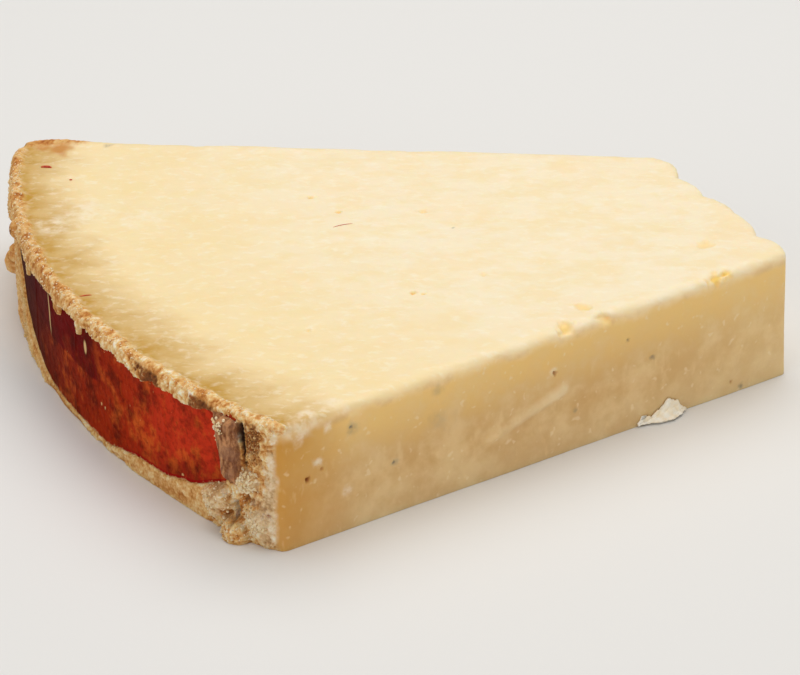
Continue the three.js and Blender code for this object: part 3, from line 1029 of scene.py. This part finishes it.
@dataclass
class Label:
    """The red paper on the rind."""

    wheel: Wheel
    shape: LabelShape
    columns: int = 420
    rows: int = 72
    clearance: float = 0.12
    thickness: float = 0.35
    wrinkle: float = 0.16
    tuck: float = 0.6

    def build(self) -> Piece:
        """Curve a grid over the rind and give it its thickness.

        Returns:
            The label as a new object.
        """
        bm = bmesh.new()
        bmesh.ops.create_grid(bm, x_segments=self.columns, y_segments=self.rows, size=0.5)
        layers = {name: bm.verts.layers.float.new(name) for name in ("along", "up", "edge", "bare")}
        shape = self.shape
        for vert in bm.verts:
            share, rise = vert.co.x + 0.5, vert.co.y + 0.5
            side = through(shape.side, 10.0 + 16.0 * rise) - shape.end
            degrees = shape.start + (shape.end - shape.start) * share + side * smoothstep(share, 0.93, 1.0)
            low = shape.low(degrees) + 0.1 * noise.noise(Vector((degrees / 0.5, 1.0, 4.0)))
            height = low + (shape.high(degrees) + self.tuck - low) * rise
            radius = shape.bed_radius + self.clearance + self.thickness
            radius += self.wrinkle * self.wave(degrees, height)
            vert.co = self.wheel.at(degrees, height * MM, radius * MM)
            vert[layers["along"]] = (degrees - shape.start) * ARC
            vert[layers["up"]] = height - low
            vert[layers["edge"]] = min(height - low, (degrees - shape.start) * ARC)
            vert[layers["bare"]] = max(self.bare(blot, degrees, height) for blot in BLOTS)
        back = bmesh.ops.extrude_face_region(bm, geom=bm.faces[:], use_keep_orig=True)
        for vert in (item for item in back["geom"] if isinstance(item, Vert)):
            flat = self.wheel.from_centre(vert.co)
            vert.co -= Vector((flat.x, flat.y, 0.0)).normalized() * (self.thickness * MM)
        bmesh.ops.recalc_face_normals(bm, faces=bm.faces[:])
        return as_object("rind_label", bm)

    def wave(self, degrees: float, height: float) -> float:
        """How the paper cockles and creases.

        Args:
            degrees: The angle round the wheel.
            height: The height in millimetres.

        Returns:
            How far it stands out, from -1 to about 1.
        """
        place = self.wheel.at(degrees, height * MM, self.wheel.radius)
        wave = 0.7 * hills(place, 7) + 0.3 * hills(place, 2.2)
        for at, lean in WRINKLES:
            across = abs(degrees - at - lean * (height - 12.0) + 0.12 * hills(place, 4)) * ARC
            wave += 0.9 * (1.0 - smoothstep(across, 0.0, 0.55)) * smoothstep(hills(place, 9), -0.3, 0.2)
        return wave

    @staticmethod
    def bare(blot: tuple[float, ...], degrees: float, height: float) -> float:
        """How bare a place is because of one blot."""
        at, middle, wide, tall = blot
        return 1.0 - smoothstep(math.hypot((degrees - at) * ARC / wide, (height - middle) / tall), 0.7, 1.25)


# The loose grains, the flake and the shreds


@dataclass(frozen=True)
class Cluster:
    """A stretch of crust with loose grains: its degrees and heights, how many, their radius and shade."""

    across: Pair
    heights: Pair
    count: int
    size: Pair
    shade: Pair
    on_top: float = 0.0


CLUSTERS = (
    Cluster((-178.5, -142.2), (24.0, 25.2), 280, (0.08, 0.22), (0.3, 0.9)),
    Cluster((-178.5, -128.6), (0.0, 0.0), 480, (0.08, 0.22), (0.6, 1.0), 2.6),
    Cluster((-133.9, -132.3), (22.4, 25.4), 44, (0.14, 0.32), (0.5, 1.0)),
    Cluster((-133.9, -133.2), (19.5, 23.0), 16, (0.14, 0.3), (0.5, 1.0)),
    Cluster((-130.9, -129.6), (17.0, 25.5), 130, (0.1, 0.24), (-0.4, 0.4)),
    Cluster((-134.4, -130.0), (0.3, 10.0), 420, (0.08, 0.28), (0.3, 1.0)),
    Cluster((-131.2, -129.9), (11.8, 15.8), 150, (0.12, 0.32), (0.5, 1.0)),
    Cluster((-130.6, -129.2), (3.8, 7.0), 110, (0.12, 0.3), (0.5, 1.0)),
    Cluster((-178.0, -170.0), (0.5, 22.0), 100, (0.1, 0.24), (0.2, 0.9)),
)


@dataclass
class Grains:
    """Loose grains fused to the crust, all in one mesh."""

    wheel: Wheel
    surface: BVHTree
    rng: random.Random
    batch: int = 40
    least_brown: float = 0.15

    def build(self) -> Piece:
        """Scatter grains over the crust.

        Returns:
            The grains as a new object.
        """
        whole = bmesh.new()
        whole.verts.layers.float.new("tone")
        jobs = [cluster for cluster in CLUSTERS for _ in range(cluster.count)]
        for start in range(0, len(jobs), self.batch):
            part = bmesh.new()
            tone = part.verts.layers.float.new("tone")
            for cluster in jobs[start : start + self.batch]:
                self.grain(part, tone, cluster)
            mesh = bpy.data.meshes.new("batch")
            part.to_mesh(mesh)
            part.free()
            whole.from_mesh(mesh)
            bpy.data.meshes.remove(mesh)
        return as_object("crust_grains", whole)

    def grain(self, bm: BMesh, tone: bmesh.types.BMLayerItem, cluster: Cluster) -> None:
        """Set one grain on the crust.

        Args:
            bm: The mesh that collects the grains.
            tone: The vertex attribute for a grain's shade.
            cluster: Where the grain belongs and what it is like.
        """
        chance, wheel = self.rng.uniform, self.wheel
        degrees = chance(*cluster.across)
        height = chance(*cluster.heights) * MM
        size = chance(*cluster.size) * MM
        if cluster.on_top > 0.0:
            start = wheel.at(degrees, 40 * MM, wheel.radius - chance(0.0, cluster.on_top) * MM)
            aim = -UP
        else:
            start = wheel.at(degrees, height, wheel.radius + 12 * MM)
            flat = wheel.from_centre(start)
            aim = -Vector((flat.x, flat.y, 0.0)).normalized()
        hit, normal, _, _ = self.surface.ray_cast(start, aim)
        if hit is None:
            return
        brown = max(patch.share(degrees, hit.z / MM) for patch in PATCHES if patch.tone is Tone.STAIN)
        if brown > self.least_brown and cluster.shade[0] > 0.0:
            return
        shape = Vector([chance(0.55, 1.35) for _ in range(3)]) * size
        turn = Matrix.Rotation(chance(0.0, math.tau), 4, Vector([chance(-1.0, 1.0) for _ in range(3)]))
        place = Matrix.Translation(hit + normal * (0.2 * size)) @ turn @ Matrix.Diagonal((*shape, 1.0))
        new = bmesh.ops.create_icosphere(bm, subdivisions=2, radius=1.0, matrix=place)
        shade = chance(*cluster.shade)
        for vert in new["verts"]:
            vert[tone] = shade
            vert.co += (vert.co - hit) * (0.55 * noise.noise(vert.co / (1.1 * size)))


def surface_of(piece: Piece) -> BVHTree:
    """The surface of a piece, ready for rays."""
    source = bmesh.new()
    source.from_mesh(piece.data)
    tree = BVHTree.FromBMesh(source)
    source.free()
    return tree


@dataclass
class FootFlake:
    """The whitish flake of curd stuck at the foot of the front cut, in millimetres along it."""

    wheel: Wheel
    start: float = -79.0
    end: float = -66.4
    columns: int = 64
    rows: int = 30
    thickness: float = 0.4

    def build(self) -> Piece:
        """Crumple a grid against the wall and onto the table.

        Returns:
            The flake as a new object.
        """
        bm = bmesh.new()
        bmesh.ops.create_grid(bm, x_segments=self.columns, y_segments=self.rows, size=0.5)
        for vert in bm.verts:
            share, rise = vert.co.x + 0.5, vert.co.y + 0.5
            along = self.start + (self.end - self.start) * share
            ragged = 0.7 * noise.noise(Vector((share * 7.0, 1.0, 3.0)))
            ragged += 0.4 * noise.noise(Vector((share * 21.0, 5.0, 3.0)))
            hump = math.sin(math.pi * min(1.0, 0.12 + share * 0.88)) ** 0.6
            tall = (1.2 + 3.2 * smoothstep(share, 0.25, 0.72)) * hump + ragged
            wide = (0.5 + 1.7 * smoothstep(share, 0.1, 0.55)) * hump + 0.6 * ragged
            crumple = 0.28 * noise.noise(Vector((share * 9.0, rise * 4.0, 8.0)))
            bend = 1.0 - math.sin(rise * math.pi / 2.0)
            proud = 0.15 + wide * bend ** 1.2 + crumple * math.sin(math.pi * rise)
            height = max(0.28, 0.32 + tall * rise ** 1.25 + crumple)
            vert.co = self.wheel.on_front(along * MM, height * MM, max(0.1, proud) * MM)
        bmesh.ops.recalc_face_normals(bm, faces=bm.faces[:])
        if bm.faces[:][0].normal.dot(self.wheel.front.facing) < 0.0:
            bmesh.ops.reverse_faces(bm, faces=bm.faces[:])
        bmesh.ops.solidify(bm, geom=bm.faces[:], thickness=self.thickness * MM)
        bmesh.ops.recalc_face_normals(bm, faces=bm.faces[:])
        return as_object("foot_flake", bm)


# Hairs and shreds on the top face: x, y and length in millimetres, heading, radius and bow
HAIRS = (
    (-8.9, 19.1, 4.6, 22.0, 0.09, 0.25), (-61.2, -11.8, 2.6, 12.0, 0.16, 0.15),
    (-77.3, 52.6, 2.6, -8.0, 0.36, 0.2), (-70.9, 45.6, 0.7, 0.0, 0.2, 0.0),
)


@dataclass
class Shreds:
    """Thin red and brown shreds that lie on the top face."""

    surface: BVHTree
    steps: int = 14
    sides: int = 8
    sink: float = 0.35

    def build(self) -> Piece:
        """Lay each shred on the top face.

        Returns:
            The shreds as a new object.
        """
        bm = bmesh.new()
        for x, y, length, degrees, radius, bow in HAIRS:
            heading = Vector((math.cos(math.radians(degrees)), math.sin(math.radians(degrees)), 0.0))
            upright = heading.to_track_quat("Z", "Y").to_matrix().to_4x4()
            rings = []
            for step in range(self.steps + 1):
                share = step / self.steps - 0.5
                place = Vector((x, y, 40.0)) * MM + heading * (share * length * MM)
                place += UP.cross(heading) * (bow * (1.0 - 4.0 * share * share) * MM)
                hit = self.surface.ray_cast(place, -UP)[0]
                stand = Matrix.Translation(hit + UP * (self.sink * radius * MM)) @ upright
                thick = radius * math.sqrt(max(0.02, 1.0 - (2.0 * share) ** 2)) * MM
                ring = bmesh.ops.create_circle(bm, segments=self.sides, radius=thick, matrix=stand)
                rings.append(ring["verts"])
            for pair in zip(rings, rings[1:]):
                edges = dict.fromkeys(
                    edge
                    for ring in pair
                    for vert in ring
                    for edge in vert.link_edges
                    if edge.other_vert(vert) in ring
                )
                bmesh.ops.bridge_loops(bm, edges=list(edges))
            for end in (rings[0], rings[-1]):
                bmesh.ops.contextual_create(bm, geom=end)
        bmesh.ops.recalc_face_normals(bm, faces=bm.faces[:])
        return as_object("top_shreds", bm)


# The finishes


@dataclass(frozen=True)
class CheeseFinish:
    """The paste and the rind: creamy on the cut top, tan on the walls, crumbly crust."""

    cream: Colour = tint(250, 234, 202)
    butter: Colour = tint(246, 220, 160)
    peach: Colour = tint(252, 226, 184)
    milk: Colour = tint(254, 243, 220)
    amber: Colour = tint(192, 144, 40)
    wall_tan: Colour = tint(214, 170, 108)
    # partly the paste's own gold and partly painted light where light comes through the top edge
    wall_pale: Colour = tint(238, 206, 150)
    wall_gold_and_glow: Colour = tint(252, 212, 132)
    wall_amber: Colour = tint(208, 148, 56)
    wall_foot: Colour = tint(226, 204, 160)
    wall_milk: Colour = tint(248, 228, 186)
    wall_end: Colour = tint(254, 228, 166)
    # painted light: the warm glow of light coming through the rounded top edge
    painted_glow_lip: Colour = tint(255, 224, 168)
    tear_yellow: Colour = tint(252, 208, 92)
    scorch: Colour = tint(200, 134, 56)
    mould_grey: Colour = tint(86, 92, 92)
    hole_brown: Colour = tint(164, 92, 34)
    # painted shade for the crevice, the slit and the feet of lumps
    painted_shade_brown: Colour = tint(70, 38, 20)

    def make(self) -> Material:
        """Build the material of the cheese's body.

        Returns:
            The material.
        """
        g = Graph("paste_and_rind")
        crust = g.attribute("crust")
        flakes = g.cloud(g.place((0.55, 1.0, 1.0)), 1.5, 4.0, 0.6)
        grit = g.cloud(g.place(), 0.5, 3.0, 0.65)
        return g.finish(
            Base_Color=g.coats(self.paste(g), (crust, self.rind(g))),
            Roughness=0.5 + crust * 0.35 + flakes * 0.08,
            Normal=g.relief(flakes * (1.0 - crust) * 0.5 + grit * crust, 0.28),
            Specular_IOR_Level=0.3,
            Subsurface_Weight=0.3,
            Subsurface_Radius=(1.0, 0.62, 0.3),
            Subsurface_Scale=3.0 * MM,
        )

    def paste(self, g: Graph) -> Sock:
        """The colour of the paste, on the top and on the walls.

        Args:
            g: The graph.

        Returns:
            The colour.
        """
        where = g.place()
        inside, drop = g.attribute("inside"), g.attribute("drop")
        warp = g.node("ShaderNodeTexNoise", {}, "Color", Vector=where, Scale=0.2, Detail=2.0)
        bent = g.vectors("MULTIPLY_ADD", warp, (2.4, 2.4, 0.0), where)
        grain = g.vectors("MULTIPLY", bent, (0.62, 1.0, 1.0))
        curd = g.cloud(grain, 5.2, 4.0, 0.6)
        fleck = g.cloud(grain, 1.7, 3.0, 0.6)
        reach = inside + (g.cloud(g.place((0.8, 1.0, 1.0)), 13.0, 3.0) - 0.5) * 16.0
        near = 1.0 - reach.ramp(0.0, 19.0)
        top = g.coats(
            self.cream,
            (curd.ramp(0.4, 0.66) * 0.45, self.butter),
            (g.cloud(where, 22.0, 3.0).ramp(0.42, 0.66) * 0.35, self.peach),
            ((1.0 - inside.ramp(15.0, 75.0)) * 0.65, self.butter),
            (near * (0.8 + curd.ramp(0.35, 0.65) * 0.3), self.amber),
            (fleck.ramp(0.5, 0.72) * (0.45 - near * 0.2), self.milk),
            # painted light: warm glow of light through the rounded top edge
            (drop.ramp(0.3, 2.0) * 0.7, self.painted_glow_lip),
        )
        mottle = g.cloud(where, 8.0, 4.0, 0.6).ramp(0.35, 0.7)
        # a golden band under the top edge, partly the paste's own colour and partly painted light through
        # the edge
        band = (drop + (mottle - 0.5) * 2.0).ramp(0.5, 2.5) * (1.0 - (drop + mottle * 5.0).ramp(3.0, 18.0))
        streaks = g.cloud(g.place((1.0, 1.0, 0.45)), 2.4, 3.0).ramp(0.58, 0.75)
        wall = g.coats(
            self.wall_tan,
            (mottle * 0.75, self.wall_pale),
            (inside.ramp(60.0, 185.0) * 0.9, self.wall_end),
            (drop.ramp(16.0, 28.0) * 0.3, self.wall_foot),
            (band * 0.8, self.wall_gold_and_glow),
            (near * (0.95 - drop.ramp(8.0, 28.0) * 0.2), self.wall_amber),
            (streaks * 0.4, self.wall_pale),
            (g.cloud(where, 1.6, 1.0, 0.4).ramp(0.66, 0.78) * 0.38, self.wall_milk),
        )
        wavy = drop + (g.cloud(where, 7.0, 2.0) - 0.5) * 3.6 + (g.cloud(where, 1.8, 2.0) - 0.5) * 1.0
        fluff = g.cloud(where, 2.0, 4.0).ramp(0.3, 0.65)
        return g.coats(
            top,
            (wavy.ramp(0.6, 3.6), wall),
            (g.attribute(Mark.SMEAR) * fluff, self.milk),
            (g.attribute(Mark.CREASE), self.wall_milk),
            (g.attribute(Mark.SCORCH), self.scorch),
            (g.attribute(Mark.TEAR) * 0.85, self.tear_yellow),
            (g.attribute(Mark.HOLE), self.hole_brown),
            (g.attribute(Mark.MOULD) * (0.25 + fluff * 0.55), self.mould_grey),
        )

    def rind(self, g: Graph) -> Sock:
        """The colour of the crust: brown in its creases, ochre to cream on its crags, partly its own colour
        and partly painted shade in hollows and painted highlight on crowns; dark brown painted shade in the
        crevice, the slit and at the feet of lumps.

        Args:
            g: The graph.

        Returns:
            The colour.
        """
        where = g.place()
        speck = g.cloud(where, 0.55, 3.0, 0.6)
        patch = g.cloud(where, 3.0, 4.0, 0.6)
        border = 1.0 - g.attribute("crust")
        # from the relief: partly the crust's own colour, partly painted shade in hollows and painted
        # highlight on crowns
        level = g.attribute("relief") * 0.75 + speck * 0.75 + patch * 0.5 + border * 0.3 - 0.5
        crags = g.shades(
            level, (0.0, tint(140, 74, 26)), (0.28, tint(198, 130, 62)), (0.46, tint(226, 172, 104)),
            (0.66, tint(242, 210, 152)), (0.9, tint(255, 244, 220)),
        )
        pale = g.shades(
            level, (0.0, tint(150, 108, 66)), (0.3, tint(204, 166, 118)), (0.6, tint(236, 210, 170)),
            (1.0, tint(252, 244, 226)),
        )
        plaster = g.attribute(Tone.PLASTER)
        stained = (g.attribute(Tone.STAIN) * 2.4 + speck * 2.6 + patch * 2.2 - 3.35).clamped()
        fibre = g.cloud(g.place((1.0, 1.0, 0.4)), 1.1, 5.0, 0.65).ramp(0.34, 0.66)
        golden = g.coats(tint(160, 76, 18), (level, tint(240, 184, 100)))
        brown = g.coats(tint(44, 18, 4), (level, tint(172, 98, 42)))
        greyed = (patch.ramp(0.5, 0.62) * 0.45, tint(146, 104, 82))
        skin = g.coats(tint(120, 68, 36), (fibre, tint(210, 152, 104)), greyed)
        return g.coats(
            crags,
            (plaster, pale),
            (g.attribute(Tone.AMBER) * (1.0 - plaster * 0.8) * 0.7, golden),
            (stained, brown),
            (g.attribute(Tone.SKIN), skin),
            # painted shade in the crevice, the slit and at the feet of lumps
            (g.attribute(Tone.GAP).ramp(0.05, 0.5), self.painted_shade_brown),
        )


@dataclass(frozen=True)
class LabelFinish:
    """Worn red paper: a crimson field over a brick field, with a plain border along the foot."""

    plum: Colour = tint(56, 3, 3)
    crimson: Colour = tint(112, 0, 0)
    brick_dark: Colour = tint(68, 8, 0)
    brick: Colour = tint(162, 42, 8)
    bright: Colour = tint(210, 58, 32)
    border: Colour = tint(150, 8, 10)
    orange: Colour = tint(214, 98, 36)
    dark: Colour = tint(66, 14, 4)
    bare: Colour = tint(226, 190, 132)

    def make(self) -> Material:
        """Build the material of the label.

        Returns:
            The material.
        """
        g = Graph("red_label_paper")
        along, up, edge = g.attribute("along"), g.attribute("up"), g.attribute("edge")
        where = g.place()
        stains = g.cloud(where, 6.5, 5.0, 0.62)
        glow = g.cloud(g.place((1.0, 1.0, 0.8)), 5.0, 5.0, 0.65)
        mottle = g.cloud(where, 1.5, 4.0, 0.65)
        thread = g.cloud(g.place((1.0, 1.0, 0.5)), 0.7, 3.0, 0.6)
        dust = g.cloud(where, 0.7, 2.0, 0.5).ramp(0.74, 0.8) * 0.5
        band = (up - along * 0.02 + (stains - 0.5) * 2.4).ramp(11.4, 12.2) * (1.0 - along.ramp(50.0, 58.0))
        lit = along.ramp(8.0, 50.0) * 0.75
        # darker along the foot at the right end of the label
        darker_low_right = along.ramp(58.0, 80.0) * (1.0 - up.ramp(1.5, 6.0)) * (0.2 + mottle * 0.3)
        line = up.ramp(0.12, 0.3) * (1.0 - up.ramp(0.6, 0.85)) * along.ramp(60.0, 66.0)
        worn = (1.0 - (edge + mottle * 2.6 - 1.3).ramp(0.0, 0.4)) * 0.55
        field = g.coats(
            self.brick_dark,
            (along.ramp(2.0, 60.0), self.brick),
            (along.ramp(58.0, 84.0) * 0.85, self.bright),
            (band, g.coats(self.plum, (along.ramp(2.0, 40.0), self.crimson))),
            (glow.ramp(0.5, 0.66) * lit * (1.0 - band * 0.8), self.orange),
            (stains.ramp(0.46, 0.68) * 0.65, self.dark),
            (mottle.ramp(0.44, 0.68) * 0.42, self.dark),
            (thread.ramp(0.52, 0.72) * lit * (0.3 - band * 0.26), self.orange),
            (darker_low_right, self.dark),
            (line * 0.9, self.border),
            (dust, self.bare),
            (worn.clamped(), self.bare),
            (g.attribute("bare"), self.bare),
        )
        return g.finish(
            Base_Color=field,
            Roughness=0.5 + mottle * 0.25,
            Normal=g.relief(mottle + stains, 0.2),
            Specular_IOR_Level=0.02,
        )


@dataclass(frozen=True)
class GrainFinish:
    """Dry grains of crust, from brown to cream, each with its own shade."""

    shades: tuple[tuple[float, Colour], ...] = (
        (0.0, tint(168, 104, 48)), (0.3, tint(220, 170, 106)), (0.62, tint(242, 214, 166)),
        (1.0, tint(252, 236, 206)),
    )

    def make(self) -> Material:
        """Build the material of the grains.

        Returns:
            The material.
        """
        g = Graph("crust_grain")
        speck = g.cloud(g.place(), 0.5, 3.0)
        return g.finish(
            Base_Color=g.shades(g.attribute("tone") * 0.8 + speck * 0.4 - 0.1, *self.shades),
            Roughness=0.75,
            Normal=g.relief(speck, 0.15),
            Specular_IOR_Level=0.2,
            Subsurface_Weight=0.2,
            Subsurface_Radius=(1.0, 0.6, 0.3),
            Subsurface_Scale=1.0 * MM,
        )


@dataclass(frozen=True)
class MottledFinish:
    """A small dry piece in two mottled shades."""

    name: str
    size: float
    detail: float
    dark: Colour
    light: Colour
    roughness: float
    depth: float

    def make(self) -> Material:
        """Build the material, with its relief where it has one.

        Returns:
            The material.
        """
        g = Graph(self.name)
        cloud = g.cloud(g.place(), self.size, self.detail)
        relief = {"Normal": g.relief(cloud, self.depth)} if self.depth else {}
        colour = g.coats(self.dark, (cloud.ramp(0.3, 0.7), self.light))
        return g.finish(Base_Color=colour, Roughness=self.roughness, **relief)


DRIED_CURD = MottledFinish("dried_curd", 1.6, 4.0, tint(250, 234, 202), tint(255, 250, 236), 0.45, 0.3)
RED_SHRED = MottledFinish("red_shred", 0.8, 3.0, tint(182, 36, 16), tint(214, 104, 56), 0.5, 0.0)


# The studio


@dataclass(frozen=True)
class Softbox:
    """A square softbox: its place and the length of its side in metres, and its power in watts."""

    name: str
    place: Place
    aim: Place
    size: float
    power: float

    def hang(self, colour: Place) -> None:
        """Hang it in the scene and turn it to what it lights."""
        data = bpy.data.lights.new(self.name, "AREA")
        data.size, data.energy, data.color = self.size, self.power, colour
        lamp = bpy.data.objects.new(self.name, data)
        lamp.location = self.place
        lamp.rotation_euler = (Vector(self.aim) - Vector(self.place)).to_track_quat("-Z", "Y").to_euler()
        bpy.context.scene.collection.objects.link(lamp)


@dataclass(frozen=True)
class Studio:
    """A pale floor, soft lights and the camera of the photograph."""

    tilt: float = 28.0
    camera_place: Place = (3.52 * MM, -470.0 * MM, 260.7 * MM)
    focal_pixels: float = 2500.0
    image_width: float = 800.0
    sensor: float = 36.0
    floor_size: float = 6.0
    floor_tint: Colour = tint(231, 231, 230)
    lamp_tint: Place = (1.0, 0.975, 0.94)
    sky_tint: Colour = (1.0, 0.985, 0.96, 1.0)
    sky: float = 0.3
    softboxes: tuple[Softbox, ...] = (
        Softbox("top_softbox", (0.05, 0.25, 0.95), (0.0, 0.0, 0.0), 1.1, 8.4),
        Softbox("left_fill", (-0.7, -0.9, 0.55), (0.0, -0.02, 0.02), 0.7, 3.0),
        Softbox("right_fill", (0.95, -0.8, 0.45), (0.0, -0.02, 0.02), 0.7, 2.2),
    )

    def build(self) -> None:
        """Make the camera, the floor, the lights and the sky."""
        self.camera()
        self.floor()
        for softbox in self.softboxes:
            softbox.hang(self.lamp_tint)
        world = bpy.data.worlds.new("soft_room")
        world.use_nodes = True
        backdrop = world.node_tree.nodes["Background"]
        backdrop.inputs["Color"].default_value = self.sky_tint
        backdrop.inputs["Strength"].default_value = self.sky
        bpy.context.scene.world = world
        bpy.context.scene.view_settings.view_transform = "Standard"

    def camera(self) -> None:
        """Stand the camera where the photograph was taken from."""
        data = bpy.data.cameras.new("photo_camera")
        data.sensor_width = self.sensor
        data.lens = self.focal_pixels / self.image_width * self.sensor
        data.clip_start = 0.01
        camera = bpy.data.objects.new("photo_camera", data)
        camera.location = self.camera_place
        camera.rotation_euler = (math.radians(90.0 - self.tilt), 0.0, 0.0)
        bpy.context.scene.collection.objects.link(camera)
        bpy.context.scene.camera = camera

    def floor(self) -> None:
        """Lay a plain pale floor."""
        bm = bmesh.new()
        bmesh.ops.create_grid(bm, x_segments=2, y_segments=2, size=self.floor_size / 2.0)
        bmesh.ops.translate(bm, verts=bm.verts[:], vec=(0.0, 0.0, -0.05 * MM))
        floor = as_object("studio_floor", bm)
        floor.data.materials.append(Graph("pale_floor").finish(Base_Color=self.floor_tint, Roughness=0.8))


def dress(piece: Piece, material: Material, nodes: Iterable[str] = ()) -> None:
    """Finish a piece, let it ride on the part and hide the CAD nodes that it replaces.

    Args:
        piece: The piece.
        material: Its material.
        nodes: The CAD nodes that it replaces.
    """
    piece.data.materials.clear()
    piece.data.materials.append(material)
    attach(piece, "root")
    if nodes:
        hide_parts(*nodes)
    triangles = sum(len(face.vertices) - 2 for face in piece.data.polygons)
    LOG.info("%s: %d triangles, %s", piece.name, triangles, material.name)


def main() -> None:
    """Build every piece in order, the same on each run."""
    logging.basicConfig(level=logging.INFO, format="%(name)s %(message)s")
    noise.seed_set(SEED)
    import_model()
    wheel = Wheel()
    label = LabelShape()
    body = Cheese(wheel, label).build()
    dress(body, CheeseFinish().make(), ("cheese",))
    dress(Label(wheel, label).build(), LabelFinish().make(), ("label",))
    surface = surface_of(body)
    dress(Grains(wheel, surface, random.Random(SEED)).build(), GrainFinish().make())
    dress(FootFlake(wheel).build(), DRIED_CURD.make())
    dress(Shreds(surface).build(), RED_SHRED.make())
    Studio().build()


if __name__ == "__main__":
    main()
